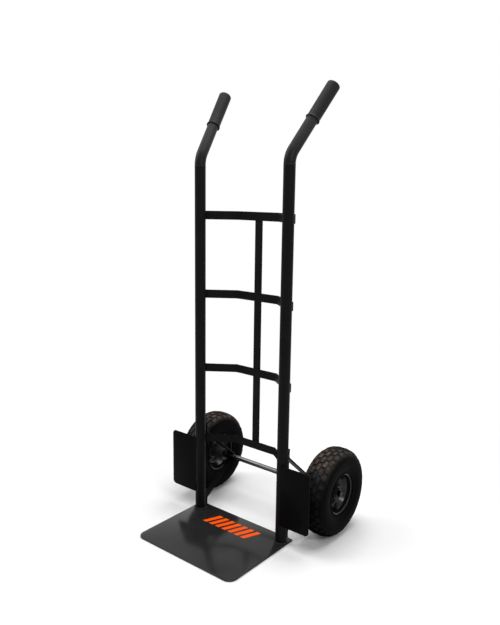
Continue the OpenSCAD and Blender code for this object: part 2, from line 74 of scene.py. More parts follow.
class Finish:
    """The nodes of one finish."""

    def __init__(self, tree):
        self.tree = tree
        tree.nodes.clear()

    def node(self, kind, settings, inputs, out=0):
        """Adds a node: its settings first, then the values or links of its sockets."""
        new = self.tree.nodes.new(kind)
        for name, value in settings.items():
            setattr(new, name, value)
        for name, value in inputs.items():
            if isinstance(value, Value):
                self.tree.links.new(value.socket, new.inputs[name])
            else:
                new.inputs[name].default_value = value
        return Value(self, new.outputs[out]) if new.outputs else None

    def math(self, operation, *values):
        return self.node("ShaderNodeMath", {"operation": operation}, dict(enumerate(values)))

    def place(self):
        return self.node("ShaderNodeTexCoord", {}, {}, "Object")

    def along(self, axis):
        """How far along X, Y or Z a point of the surface lies."""
        return self.node("ShaderNodeSeparateXYZ", {}, {"Vector": self.place()}, axis)

    def noise(self, scale, detail=2.0, rough=0.5):
        return self.node("ShaderNodeTexNoise", {}, {
            "Vector": self.place(), "Scale": scale, "Detail": detail, "Roughness": rough})

    def step(self, value, low, high):
        """A mask that rises softly from 0 at low to 1 at high."""
        return self.node("ShaderNodeMapRange", {"interpolation_type": "SMOOTHSTEP"}, {
            "Value": value, "From Min": low, "From Max": high})

    def mix(self, factor, first, second):
        return self.node("ShaderNodeMix", {"data_type": "RGBA"}, {0: factor, 6: first, 7: second}, 2)

    def bump(self, height, strength, depth):
        return self.node("ShaderNodeBump", {}, {
            "Height": height, "Strength": strength, "Distance": depth})

    def surface(self, sockets):
        """Ends the finish of a solid piece."""
        shader = self.node("ShaderNodeBsdfPrincipled", {}, sockets)
        self.node("ShaderNodeOutputMaterial", {}, {"Surface": shader})


def new_finish(name):
    material = bpy.data.materials.new(name)
    material.use_nodes = True
    return material, Finish(material.node_tree)


def grey(level):
    return (level, level, level, 1.0)


floor_r, floor_drop = 9.0, 0.0008
fade_from, fade_to = 0.45, 1.3
bpy.ops.object.select_all(action="DESELECT")
bpy.ops.mesh.primitive_circle_add(
    vertices=96, radius=floor_r, fill_type="NGON", location=(0, 0, -floor_drop))
floor = bpy.context.object
floor.name = "studio_floor"
bpy.ops.object.transform_apply()
material, f = new_finish("pale_floor")
from_truck = f.node("ShaderNodeVectorMath", {"operation": "LENGTH"}, {0: f.place()}, "Value")
seen = f.node("ShaderNodeLightPath", {}, {}, "Is Camera Ray")
melted = f.step(from_truck, fade_from, fade_to) * seen
paper = f.node("ShaderNodeBsdfDiffuse", {}, {"Color": grey(0.93)})
glow = f.node("ShaderNodeEmission", {}, {"Color": grey(1.0), "Strength": 1.0})
f.node("ShaderNodeOutputMaterial", {}, {
    "Surface": f.node("ShaderNodeMixShader", {}, {0: melted, 1: paper, 2: glow})})
floor.data.materials.append(material)

room_light = 0.4
world = bpy.data.worlds.new("white_room")
world.use_nodes = True
f = Finish(world.node_tree)
rays = f.node("ShaderNodeLightPath", {}, {}, "Is Camera Ray")
rays = rays + f.node("ShaderNodeLightPath", {}, {}, "Is Glossy Ray")
rays = rays + f.node("ShaderNodeLightPath", {}, {}, "Is Transmission Ray")
white = f.math("MINIMUM", rays, 1.0)
room = f.node("ShaderNodeBackground", {}, {
    "Color": grey(1.0), "Strength": white * (1 - room_light) + room_light})
f.node("ShaderNodeOutputWorld", {}, {"Surface": room})
bpy.context.scene.world = world

lamps_aim = Vector((0, 0, 0.5))
for name, size, energy, place in (
        ("key_lamp", 1.4, 24.0, (-1.7, -1.05, 2.6)),
        ("top_lamp", 2.0, 56.0, (0.1, 0.5, 2.9)),
        ("side_lamp", 0.5, 8.5, (1.75, -0.65, 1.65))):
    bpy.ops.object.light_add(type="AREA", location=place)
    lamp = bpy.context.object
    lamp.name = name
    lamp.data.size = size
    lamp.data.energy = energy
    lamp.rotation_euler = (Vector(place) - lamps_aim).to_track_quat("Z", "Y").to_euler()

camera_place = (1.1492, -1.3888, 0.9891)
dip, swing, roll = 10.66, 39.07, 0.77
camera_turn = Euler((radians(90 - dip), 0, radians(swing))).to_matrix()
camera_turn = camera_turn @ Matrix.Rotation(radians(roll), 3, "Z")
bpy.ops.object.camera_add(location=camera_place, rotation=camera_turn.to_euler())
camera = bpy.context.object
camera.data.lens = 37.0
camera.data.sensor_width = 36.0
bpy.context.scene.camera = camera
bpy.context.scene.view_settings.view_transform = "Standard"


# Posts: two straight steel tubes with a satin black powder coat, which has the
# slight orange peel and the slow changes of gloss that baked powder leaves.
def coat(name, colour, rough, peel, shine):
    """Baked paint: clouds shift its tone and gloss, and peel is how much its skin ripples."""
    cloud_scale, peel_scale, peel_depth = 14.0, 420.0, 0.00015
    drift, paler = 0.12, 1.25
    material, f = new_finish(name)
    cloud = f.noise(cloud_scale, detail=3.0)
    pale = tuple(c * paler for c in colour[:3]) + (1.0,)
    f.surface({
        "Base Color": f.mix(f.step(cloud, low=0.35, high=0.7), colour, pale),
        "Roughness": cloud * drift + (rough - drift / 2),
        "Normal": f.bump(f.noise(peel_scale, detail=1.0), peel, peel_depth),
        "Specular IOR Level": shine})
    return material


def dress(names, material):
    """Gives CAD nodes one material all over."""
    for name in names:
        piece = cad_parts[name]
        piece.data.materials.clear()
        piece.data.materials.append(material)


post_x, post_y, post_r = 0.158, -0.0145, 0.016
frame_black = grey(0.0055)
frame_coat = coat("frame_powder_coat", frame_black, rough=0.42, peel=0.05, shine=0.055)
dress(["left_post", "right_post"], frame_coat)


# Handle tubes: each is bent back and a little outwards, and its swaged end is
# pushed into the post. A thin welded seam runs round the joint. The powder coat is
# painted paler towards the grips, as painted light where the tubes tilt up to the lamps.
def only(piece):
    """Makes a piece the only one selected, and the active one."""
    bpy.ops.object.select_all(action="DESELECT")
    piece.select_set(True)
    bpy.context.view_layer.objects.active = piece


def edit(piece):
    only(piece)
    bpy.ops.object.mode_set(mode="EDIT")


def pick(kind, test):
    """In edit mode, selects the vertices, edges or faces that pass a test."""
    bpy.ops.mesh.select_mode(type=kind)
    bpy.ops.mesh.select_all(action="DESELECT")
    sheet = bmesh.from_edit_mesh(bpy.context.object.data)
    for element in {"VERT": sheet.verts, "EDGE": sheet.edges, "FACE": sheet.faces}[kind]:
        if test(element):
            element.select_set(True)
    sheet.select_flush_mode()
    bmesh.update_edit_mesh(bpy.context.object.data)


def draw(name, points):
    """Draws an open line by extruding one point from place to place."""
    bpy.ops.object.select_all(action="DESELECT")
    bpy.ops.mesh.primitive_plane_add(size=0.001, location=(0, 0, 0))
    piece = bpy.context.object
    piece.name = piece.data.name = name
    bpy.ops.object.mode_set(mode="EDIT")
    bpy.ops.mesh.select_mode(type="VERT")
    bpy.ops.mesh.select_all(action="SELECT")
    # a tiny plane, merged to the one point that the line is drawn from
    bpy.ops.mesh.merge(type="CENTER")
    bpy.ops.mesh.select_all(action="SELECT")
    bpy.ops.transform.translate(value=points[0])
    for start, end in zip(points, points[1:]):
        bpy.ops.mesh.extrude_region_move(
            TRANSFORM_OT_translate={"value": Vector(end) - Vector(start)})
    return piece


def turn(name, profile, steps=64, bevel=0.0):
    """Turns a line of (radius, height) about Z into a round piece."""
    piece = draw(name, [(r, 0, z) for r, z in profile])
    if bevel:
        pick("VERT", lambda v: len(v.link_edges) == 2)
        bpy.ops.mesh.bevel(offset=bevel, segments=3, affect="VERTICES")
    bpy.ops.mesh.select_all(action="SELECT")
    bpy.ops.mesh.spin(steps=steps, angle=2 * pi, center=(0, 0, 0), axis=(0, 0, 1))
    bpy.ops.object.mode_set(mode="OBJECT")
    return piece


def complete(piece, material, angle=35):
    """Applies a piece's modifiers and place, turns its faces out and smooths it."""
    only(piece)
    bpy.ops.object.mode_set(mode="OBJECT")
    for modifier in list(piece.modifiers):
        bpy.ops.object.modifier_apply(modifier=modifier.name)
    bpy.ops.object.transform_apply()
    bpy.ops.object.mode_set(mode="EDIT")
    bpy.ops.mesh.select_all(action="SELECT")
    bpy.ops.mesh.remove_doubles(threshold=0.000002)
    bpy.ops.mesh.normals_make_consistent(inside=False)
    bpy.ops.object.mode_set(mode="OBJECT")
    bpy.ops.object.shade_smooth_by_angle(angle=radians(angle))
    piece.data.materials.clear()
    piece.data.materials.append(material)
    return piece


def other_side(piece, name):
    """Copies a right-hand piece to the left, with its own mesh."""
    only(piece)
    bpy.ops.object.duplicate()
    copy = bpy.context.object
    copy.name = copy.data.name = name
    copy.scale.x = -1
    return complete(copy, piece.data.materials[0])


def join(pieces, name):
    bpy.ops.object.select_all(action="DESELECT")
    for piece in pieces:
        piece.select_set(True)
    bpy.context.view_layer.objects.active = pieces[0]
    bpy.ops.object.join()
    whole = bpy.context.object
    whole.name = whole.data.name = name
    return whole


joint_z, handle_l = 1.059, 0.217
bend, bend_r, flare = radians(38), 0.060, radians(13)
swage_r, swage_l, seam_r = 0.0150, 0.0012, 0.01645
painted_light_z, painted_light_grey = 1.145, grey(0.0230)
material, f = new_finish("handle_powder_coat")
light_unevenness = f.noise(scale=14.0, detail=3.0) * 0.5 + 0.75
# painted light: the coat turns paler with height, unevenly, as the tubes tilt up towards the lamps
painted_light = f.step(f.along("Z"), joint_z, painted_light_z) * light_unevenness
peel = f.noise(scale=420.0, detail=1.0)
f.surface({
    "Base Color": f.mix(painted_light, frame_black, painted_light_grey),
    "Roughness": painted_light * 0.06 + 0.38,
    "Normal": f.bump(peel, strength=0.05, depth=0.00015),
    "Specular IOR Level": 0.11})
at_joint = Matrix.Translation((post_x, post_y, joint_z)) @ Matrix.Rotation(-flare, 4, "Z")
tube = turn("tube", [(0.0, 0.0), (swage_r, 0.0), (0.0157, 0.0003), (post_r, swage_l)], steps=48)
edit(tube)
# the open end is swept round the bend, drawn out straight and closed
pick("EDGE", lambda e: all(v.co.z > swage_l - 0.0001 for v in e.verts))
bpy.ops.mesh.spin(steps=14, angle=bend, center=(0, bend_r, swage_l), axis=(1, 0, 0))
pick("EDGE", lambda e: e.is_boundary)
bpy.ops.mesh.extrude_region_move(
    TRANSFORM_OT_translate={"value": (0, sin(bend) * handle_l, cos(bend) * handle_l)})
bpy.ops.mesh.edge_face_add()
bpy.ops.object.mode_set(mode="OBJECT")
seam = turn("seam", [
    (0.0152, -0.0010), (post_r, -0.0010), (seam_r, -0.0005),
    (seam_r, 0.0006), (post_r, 0.0012), (0.0152, 0.0012)], steps=48)
tube = join([tube, seam], "right_bent_handle")
tube.matrix_world = at_joint
complete(tube, material)
for piece, name in (
        (tube, "right_handle_tube"), (other_side(tube, "left_bent_handle"), "left_handle_tube")):
    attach(piece, "frame")
    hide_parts(name)


# Grips: soft black sleeves pushed over the handles, with a thin flange below, a
# slight swell and a rounded closed end. The moulded skin is a little dull.
grip_l, grip_past_end, end_round = 0.120, 0.0043, 0.003
grip_black, grip_smeared = (0.0092, 0.0092, 0.0102, 1), (0.0125, 0.0125, 0.0135, 1)
material, f = new_finish("grip_skin")
smear = f.noise(scale=38.0, detail=3.0)
moulded = f.noise(scale=1400.0)
f.surface({
    "Base Color": f.mix(f.step(smear, low=0.3, high=0.75), grip_black, grip_smeared),
    "Roughness": smear * 0.2 + 0.42,
    "Normal": f.bump(moulded, strength=0.08, depth=0.0001),
    "Specular IOR Level": 0.12})
sleeve = [
    (0.0161, 0.0), (0.0196, 0.0), (0.0201, 0.0005), (0.0201, 0.0018), (0.0197, 0.0023),
    (0.0190, 0.0028), (0.0184, 0.0042), (0.0181, 0.0060), (0.0183, 0.0500), (0.0186, 0.1100)]
sleeve += [(0.0157 + end_round * cos(a), 0.1168 + end_round * sin(a))
           for a in (radians(15 * k) for k in range(7))]
sleeve += [(0.0080, grip_l), (0.0, grip_l + 0.0001)]
grip = turn("right_sleeve", sleeve, steps=56)
past_bend = Matrix.Translation((0, bend_r * (1 - cos(bend)), bend_r * sin(bend)))
tilt = Matrix.Rotation(-bend, 4, "X")
slide = Matrix.Translation((0, 0, handle_l + grip_past_end - grip_l))
grip.matrix_world = at_joint @ past_bend @ tilt @ slide
complete(grip, material, angle=40)
for piece, name in ((grip, "right_grip"), (other_side(grip, "left_sleeve"), "left_grip")):
    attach(piece, "frame")
    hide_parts(name)


# Crossbars: four flat bars bent to a hat shape, so that a drum can lean in them.
# Their ends lie on the backs of the posts, with a weld on each side.
def wire(name, places, radius, swells=None, facets=3):
    """Lays round wire along a line of places; swells thicken or thin it at each."""
    line = bpy.data.curves.new(name, "CURVE")
    line.dimensions = "3D"
    line.bevel_depth = radius
    line.bevel_resolution = facets
    line.use_fill_caps = True
    run = line.splines.new("POLY")
    run.points.add(len(places) - 1)
    for point, place, swell in zip(run.points, places, swells or [1.0] * len(places)):
        point.co = (*place, 1)
        point.radius = swell
    piece = bpy.data.objects.new(name, line)
    bpy.context.scene.collection.objects.link(piece)
    only(piece)
    bpy.ops.object.convert(target="MESH")
    return bpy.context.object


def bead(name, points, radius, pitch=0.0016):
    """Lays a weld bead along a line of points, rippled as a hand torch leaves it."""
    places = []
    for start, end in zip(points, points[1:]):
        start, end = Vector(start), Vector(end)
        steps = max(1, round((end - start).length / pitch))
        places += [start.lerp(end, k / steps) for k in range(steps)]
    places.append(Vector(points[-1]))
    ripples = [0.88 + 0.12 * (k % 2) for k in range(len(places))]
    ripples[0] = ripples[-1] = 0.55
    return wire(name, places, radius, ripples, facets=2)


def round_edges(piece):
    """Breaks the sharp edges of a sheet or bar."""
    only(piece)
    bpy.ops.object.modifier_add(type="BEVEL")
    piece.modifiers["Bevel"].width = 0.0006
    piece.modifiers["Bevel"].segments = 2
    piece.modifiers["Bevel"].angle_limit = radians(50)


def thicken(piece, thick):
    """Gives a bent strip the thickness and the rounded edges of rolled flat bar."""
    only(piece)
    bpy.ops.object.modifier_add(type="SOLIDIFY")
    piece.modifiers["Solidify"].thickness = thick
    piece.modifiers["Solidify"].offset = 0
    round_edges(piece)


bar_t, bar_h, setback = 0.004, 0.025, 0.055
bar_y = post_y + post_r + bar_t / 2
bar_end, outer_bend, inner_bend, bar_bend_r = 0.167, 0.152, 0.075, 0.006
bar_heights = (("bottom", 0.231), ("lower", 0.459), ("upper", 0.687), ("top", 0.920))
bar = draw("bar", [
    (-bar_end, bar_y, 0), (-outer_bend, bar_y, 0), (-inner_bend, bar_y + setback, 0),
    (inner_bend, bar_y + setback, 0), (outer_bend, bar_y, 0), (bar_end, bar_y, 0)])
bar_slope = atan2(setback, outer_bend - inner_bend)
pick("VERT", lambda v: len(v.link_edges) == 2)
# cutting a corner off this far back gives its bend the radius wanted
bpy.ops.mesh.bevel(offset=bar_bend_r * tan(bar_slope / 2), segments=6, affect="VERTICES")
bpy.ops.mesh.select_all(action="SELECT")
bpy.ops.transform.translate(value=(0, 0, -bar_h / 2))
bpy.ops.mesh.extrude_region_move(TRANSFORM_OT_translate={"value": (0, 0, bar_h)})
bpy.ops.object.mode_set(mode="OBJECT")
thicken(bar, bar_t)
complete(bar, frame_coat)
weld_r, weld_off, weld_y, weld_half = 0.0019, 0.0052, post_y + 0.0158, 0.0105
welds = []
for x in (side * (post_x + off) for side in (-1, 1) for off in (-weld_off, weld_off)):
    welds.append(bead("bar_weld", [(x, weld_y, -weld_half), (x, weld_y, weld_half)], weld_r))
bar = complete(join([bar] + welds, "bar"), frame_coat)
for level, height in bar_heights:
    only(bar)
    bpy.ops.object.duplicate()
    piece = bpy.context.object
    piece.name = piece.data.name = level + "_hat_bar"
    piece.location.z = height
    complete(piece, frame_coat)
    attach(piece, "frame")
    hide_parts(level + "_crossbar")
bpy.data.objects.remove(bar)


# Centre strut: a straight flat bar welded up the backs of the crossbars, with
# short beads on the edges of the bars that it passes.
strut_w, strut_t, strut_l, strut_mid = 0.025, 0.004, 0.710, 0.5755
bar_back = bar_y + setback
tack_half, tack_y, tack_r = 0.0105, bar_back + 0.0014, 0.0016
bpy.ops.object.select_all(action="DESELECT")
bpy.ops.mesh.primitive_cube_add(size=1, location=(0, bar_back + strut_t, strut_mid))
strut = bpy.context.object
strut.scale = (strut_w, strut_t, strut_l)
bpy.ops.object.transform_apply()
round_edges(strut)
complete(strut, frame_coat)
# the strut's ends lie between the outermost edges, so those two have no bead
bar_edges = sorted(
    height + way * (bar_h / 2 + 0.0004) for level, height in bar_heights for way in (-1, 1))
tacks = []
for z in bar_edges[1:-1]:
    tacks.append(bead("tack", [(-tack_half, tack_y, z), (tack_half, tack_y, z)], tack_r))
strut = complete(join([strut] + tacks, "upright_strut"), frame_coat)
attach(strut, "frame")
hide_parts("centre_strut")


# Toe plate: one flat steel sheet with rounded corners and a glossier dark grey
# coat. The posts stand on it, each inside a ring of weld.
def plate(name, x0, x1, y0, y1, corners, up):
    """A flat sheet with chosen corner radii, drawn up or down from z = 0 to its thickness."""
    bpy.ops.object.select_all(action="DESELECT")
    bpy.ops.mesh.primitive_plane_add(size=1, location=((x0 + x1) / 2, (y0 + y1) / 2, 0))
    piece = bpy.context.object
    piece.name = piece.data.name = name
    piece.scale = (x1 - x0, y1 - y0, 1)
    bpy.ops.object.transform_apply()
    edit(piece)
    for (x, y), radius in corners:
        pick("VERT", lambda v: abs(v.co.x - x) < 1e-4 and abs(v.co.y - y) < 1e-4)
        bpy.ops.mesh.bevel(offset=radius, segments=10, affect="VERTICES")
    bpy.ops.mesh.select_all(action="SELECT")
    bpy.ops.mesh.extrude_region_move(TRANSFORM_OT_translate={"value": (0, 0, up)})
    bpy.ops.object.mode_set(mode="OBJECT")
    return piece


plate_half, plate_t, front_round, back_round = 0.180, 0.004, 0.025, 0.004
front_y, back_y = post_y - 0.245, post_y + 0.030
plate_coat = coat("plate_gloss_coat", grey(0.0165), rough=0.17, peel=0.03, shine=0.24)
toe = plate("toe_sheet", -plate_half, plate_half, front_y, back_y, (
    ((-plate_half, front_y), front_round), ((plate_half, front_y), front_round),
    ((-plate_half, back_y), back_round), ((plate_half, back_y), back_round)), plate_t)
round_edges(toe)
complete(toe, plate_coat)
ring_r, ring_z, ring_bead, ring_steps = 0.0176, 0.0052, 0.0021, 40
turns = [2 * pi * k / ring_steps for k in range(ring_steps + 1)]
rings = []
for side in (-1, 1):
    foot = [(side * post_x + ring_r * cos(a), post_y + ring_r * sin(a), ring_z) for a in turns]
    rings.append(bead("foot_weld", foot, ring_bead))
weld_coat = coat("weld_satin_coat", grey(0.014), rough=0.46, peel=0.08, shine=0.18)
rings = complete(join(rings, "foot_weld_rings"), weld_coat)
for piece in (toe, rings):
    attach(piece, "frame")
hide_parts("toe_plate")


# Decoration on the toe plate: a plain band of seven slanted bars near the posts, cut
# from thin orange film and stuck on flat. Their corners are rounded.
film_n, film_half_w, film_pitch, film_t = 7, 0.0075, 0.0245, 0.0002
film_front, film_back, film_slant, film_round = -0.020, 0.034, 0.022, 0.002
film_x, film_y, film_z = -0.086, post_y - 0.038, 0.00395
deep_orange, pale_orange = (0.95, 0.088, 0.001, 1), (1.0, 0.108, 0.001, 1)
material, f = new_finish("orange_film")
f.surface({
    "Base Color": f.mix(f.noise(scale=60.0), deep_orange, pale_orange),
    "Roughness": 0.42,
    "Specular IOR Level": 0.08})
stripes = []
for k in range(film_n):
    stripe = plate("stripe", -film_half_w, film_half_w, film_front, film_back, (), film_t)
    edit(stripe)
    pick("VERT", lambda v: v.co.y > 0)
    bpy.ops.transform.translate(value=(film_slant, 0, 0))
    pick("EDGE", lambda e: abs(e.verts[0].co.z - e.verts[1].co.z) > film_t / 2)
    bpy.ops.mesh.bevel(offset=film_round, segments=4, affect="EDGES")
    bpy.ops.object.mode_set(mode="OBJECT")
    stripe.location = (film_x + film_pitch * k, film_y, film_z)
    stripes.append(complete(stripe, material))
band = complete(join(stripes, "orange_bars"), material)
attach(band, "frame")


# Wheel guards: flat plates that stand in front of the tyres. Each is welded to the
# front of its post at the two ends of its inner edge.
guard_w, guard_t, guard_low, guard_high, guard_round = 0.097, 0.003, 0.061, 0.241, 0.012
guard_lap = 0.007
guard_in = post_x + guard_lap
guard_out = guard_in + guard_w
guard_y = post_y - sqrt(post_r ** 2 - guard_lap ** 2)
guard_coat = coat("guard_powder_coat", grey(0.0030), rough=0.40, peel=0.05, shine=0.026)
guard = plate("guard", guard_in, guard_out, guard_low, guard_high, (
    ((guard_out, guard_low), guard_round), ((guard_out, guard_high), guard_round)), guard_t)
round_edges(guard)
guard.rotation_euler = (radians(90), 0, 0)
guard.location = (0, guard_y, 0)
complete(guard, guard_coat)
seam_x, seam_y, seam_l = guard_in - 0.0008, guard_y - 0.0014, 0.030
welds = []
for z in (0.062, 0.210):
    welds.append(bead("guard_weld", [(seam_x, seam_y, z), (seam_x, seam_y, z + seam_l)], 0.0024))
guard = complete(join([guard] + welds, "right_wheel_guard"), guard_coat)
for piece, name in ((guard, "right_guard"), (other_side(guard, "left_wheel_guard"), "left_guard")):
    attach(piece, "frame")
    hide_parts(name)


# Axle stays: one flat bar on each side, bent from the back of the post round the
# axle and back to the foot of the post, and welded along both of its flat ends.
axle_y, axle_z, wrap_r = post_y + 0.144, 0.130, 0.0101
stay_w, stay_t, stay_bend = 0.022, 0.004, 0.0026
stay_top, upper_bend, lower_bend, stay_foot = 0.281, 0.254, 0.031, 0.011
tab_y = post_y + post_r + stay_t / 2
# both arms touch the loop round the axle, so its arc starts and ends at their angles
reach, rise, fall = axle_y - tab_y, upper_bend - axle_z, axle_z - lower_bend
high = -atan2(rise, reach) + asin(wrap_r / hypot(reach, rise))
low = atan2(fall, reach) - asin(wrap_r / hypot(reach, fall))
around = [pi / 2 + high + (low - pi - high) * k / 14 for k in range(15)]
wrapped = [(0, axle_y + wrap_r * cos(a), axle_z + wrap_r * sin(a)) for a in around]
stay = draw("stay", [
    (0, tab_y, stay_top), (0, tab_y, upper_bend), *wrapped,
    (0, tab_y, lower_bend), (0, tab_y, stay_foot)])
pick("VERT", lambda v: abs(v.co.y - tab_y) < 1e-5 and len(v.link_edges) == 2)
bpy.ops.mesh.bevel(offset=stay_bend, segments=6, affect="VERTICES")
bpy.ops.mesh.select_all(action="SELECT")
bpy.ops.transform.translate(value=(post_x - stay_w / 2, 0, 0))
bpy.ops.mesh.extrude_region_move(TRANSFORM_OT_translate={"value": (stay_w, 0, 0)})
bpy.ops.object.mode_set(mode="OBJECT")
thicken(stay, stay_t)
complete(stay, frame_coat)
welds = []
for x in (post_x - weld_off, post_x + weld_off):
    for z0, z1 in ((0.256, 0.279), (0.013, 0.028)):
        welds.append(bead("stay_weld", [(x, weld_y, z0), (x, weld_y, z1)], weld_r))
stay = complete(join([stay] + welds, "right_vee_stay"), frame_coat)
for piece, name in (
        (stay, "right_axle_stay"), (other_side(stay, "left_vee_stay"), "left_axle_stay")):
    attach(piece, "frame")
    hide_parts(name)


# Axle: one bright drawn steel bar through both stays and both wheels, with a black
# spacer, a plain washer and a split pin at each end to keep the wheel on.
def steel(name, colour, rough, along=None, shade_past=9.0, shade_below=-9.0):
    """Steel with slight stains. Its drawn lines can run along it, and it is painted dark, as
    painted shade, past a distance from the truck's middle and below a height."""
    material, f = new_finish(name)
    place = f.place()
    if along:
        place = f.node("ShaderNodeMapping", {}, {"Vector": place, "Scale": along})
    drawn = f.node("ShaderNodeTexNoise", {}, {"Vector": place, "Scale": 500.0, "Detail": 2.0})
    # painted shade: dark below a height and past a distance from the middle
    unshaded = f.step(f.along("Z"), shade_below - 0.008, shade_below + 0.008)
    unshaded = unshaded * (1 - f.step(abs(f.along("X")), shade_past, shade_past + 0.006))
    darker = tuple(c * 0.75 for c in colour[:3]) + (1.0,)
    stains = f.step(f.noise(scale=30.0, detail=3.0), low=0.4, high=0.75)
    f.surface({
        "Base Color": f.mix(unshaded, grey(0.007), f.mix(stains, colour, darker)),
        "Metallic": 1.0,
        "Roughness": drawn * 0.12 + (rough - 0.06),
        "Normal": f.bump(drawn, strength=0.04, depth=0.0001)})
    return material


def on_axle(piece, x):
    """Lays a piece made about Z along the axle."""
    only(piece)
    piece.rotation_euler = (0, radians(90), 0)
    piece.location = (x, axle_y, axle_z)
    return piece


def ring(name, bore_r, edge_r, low, high, steps=48, bevel=0.0005):
    """Turns a spacer or a washer, with its edges broken."""
    section = [(bore_r, low), (edge_r, low), (edge_r, high), (bore_r, high), (bore_r, low)]
    return turn(name, section, steps, bevel)


wheel_x, hub_in, hub_out = 0.235, 0.055, 0.020
on_bar_r, spacer_r, spacer_in, spacer_l = 0.0081, 0.0120, 0.169, 0.0107
washer_r, washer_x, washer_t = 0.0150, wheel_x + hub_out + 0.0003, 0.0025
bar_steel, dark_zinc_grey = (0.17, 0.173, 0.177, 1), (0.028, 0.028, 0.029, 1)
# the axle's underside and its ends deep in the wheel dishes are painted dark as painted shade
drawn_steel = steel(
    "drawn_steel", bar_steel, rough=0.26, along=(0.02, 1.0, 1.0),
    shade_past=0.243, shade_below=axle_z + 0.001)
dress(["axle"], drawn_steel)
zinc = steel("dark_zinc_plate", dark_zinc_grey, rough=0.40)
black_steel = coat("spacer_black", grey(0.008), rough=0.40, peel=0.05, shine=0.10)
spacer = ring("right_spacer_tube", on_bar_r, spacer_r, 0.0, spacer_l)
complete(on_axle(spacer, spacer_in), black_steel)
washer = ring("right_plain_washer", on_bar_r, washer_r, 0.0, washer_t)
complete(on_axle(washer, washer_x), zinc)
pin_x, pin_r, leg_off = washer_x + washer_t + 0.002 + 0.0001, 0.00095, 0.00098
eye_r, eye_z, splay = 0.0032, 0.0122, radians(35)
legs = []
for way in (-1, 1):
    eye = [(pin_x, axle_y + way * eye_r * sin(a), axle_z + eye_z - eye_r * cos(a))
           for a in (radians(15 * k) for k in range(12, 1, -1))]
    leg = [(pin_x, axle_y + way * leg_off, axle_z + z) for z in (0.0080, -0.0090)]
    foot = [(pin_x, axle_y + way * (leg_off + 0.0085 * sin(splay) * k),
             axle_z - 0.0095 - 0.0080 * cos(splay) * k) for k in (0.5, 1.0)]
    legs.append(wire("leg", eye + leg + foot, pin_r))
pin = complete(join(legs, "right_cotter"), zinc, angle=60)
for piece, name, left in (
        (spacer, "right_spacer", "left_spacer_tube"), (washer, "right_washer", "left_plain_washer"),
        (pin, "right_split_pin", "left_cotter")):
    for shown, node in ((piece, name), (other_side(piece, left), name.replace("right", "left"))):
        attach(shown, "frame")
        "spacer_steel" if "spacer" in node else "axle_steel"
        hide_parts(node)


# Tyres: air-filled rubber casings with smooth sidewalls, a moulded ridge at the
# shoulder and at the rim, and five staggered rings of tread blocks. Dust and wear make
# the tread paler, and the top of the tyre is painted paler and warmer as painted light from above.
tyre_r, half_w, core_r, power = 0.130, 0.041, 0.092, 0.76
casing_h, bore_h, bore_half_w = 0.034, 0.028, 0.035
blocks_n, block_half_l, block_w, block_h = 30, 0.0124, 0.0126, 0.0055
block_corner, block_edge, row_pitch, row_crowd = 0.0036, 0.0008, 0.015, 0.02
ridges = (
    # across, radius, how far it stands out, its spread
    (0.0372, 0.1105, 0.0007, 0.0011),
    (0.0335, 0.0672, 0.0028, 0.0026),
    (0.0400, 0.1000, 0.0004, 0.0009))


def tread_r(x):
    """Radius over the tread at a distance from the wheel's middle."""
    return core_r + (tyre_r - core_r) * sqrt(1 - min(1, (abs(x) / half_w) ** (1 / power)) ** 2) ** power


def casing(height, width, steps, first, last):
    """Points of a section from one bead over the crown to the other, as (radius, x)."""
    points = []
    for k in range(steps + 1):
        t = radians(first + (last - first) * k / steps)
        up = abs(sin(t)) ** power * (1 if sin(t) > 0 else -1)
        out = abs(cos(t)) ** power * (1 if cos(t) > 0 else -1)
        points.append((core_r + height * up, width * out))
    return points


outside = []
for r, x in casing(casing_h, half_w, steps=64, first=220, last=-40):
    edge = hypot(r - core_r, x)
    for ridge_x, ridge_r, stand, spread in ridges:
        off = hypot(abs(x) - ridge_x, r - ridge_r)
        grow = stand * max(0.0, 1 - (off / (2.2 * spread)) ** 2)
        r, x = r + (r - core_r) / edge * grow, x + x / edge * grow
    outside.append((r, x))
inside = casing(bore_h, bore_half_w, steps=24, first=-28, last=208)
rim_guard = [
    (0.0645, 0.0370), (0.0628, 0.0374), (0.0614, 0.0371), (0.0604, 0.0363), (0.0600, 0.0352),
    (0.0643, 0.0352), (0.0653, 0.0338), (0.0650, 0.0303), (0.0585, 0.0292), (0.0573, 0.0270),
    (0.0573, 0.0200)]
far_guard = [(r, -x) for r, x in reversed(rim_guard)]
section = far_guard[-3:] + outside + rim_guard + inside + far_guard[:-2]
body = turn("casing", section, steps=120)

block = plate("block", -block_half_l, block_half_l, -block_w / 2, block_w / 2, [
    ((x, y), block_corner) for x in (-block_half_l, block_half_l)
    for y in (-block_w / 2, block_w / 2)], -block_h)
edit(block)
pick("EDGE", lambda e: all(abs(v.co.z) < 1e-6 for v in e.verts))
bpy.ops.mesh.bevel(offset=block_edge, segments=2, affect="EDGES")
# cuts across the block let it bend round the casing
for cut_at in (-0.006, 0.0, 0.006):
    bpy.ops.mesh.select_all(action="SELECT")
    bpy.ops.mesh.bisect(plane_co=(cut_at, 0, 0), plane_no=(1, 0, 0))
bpy.ops.mesh.select_all(action="SELECT")
bpy.ops.mesh.bisect(plane_co=(0, 0, 0), plane_no=(0, 1, 0))
pick("FACE", lambda face: face.normal.z < -0.9)
bpy.ops.mesh.delete(type="FACE")
bpy.ops.object.mode_set(mode="OBJECT")
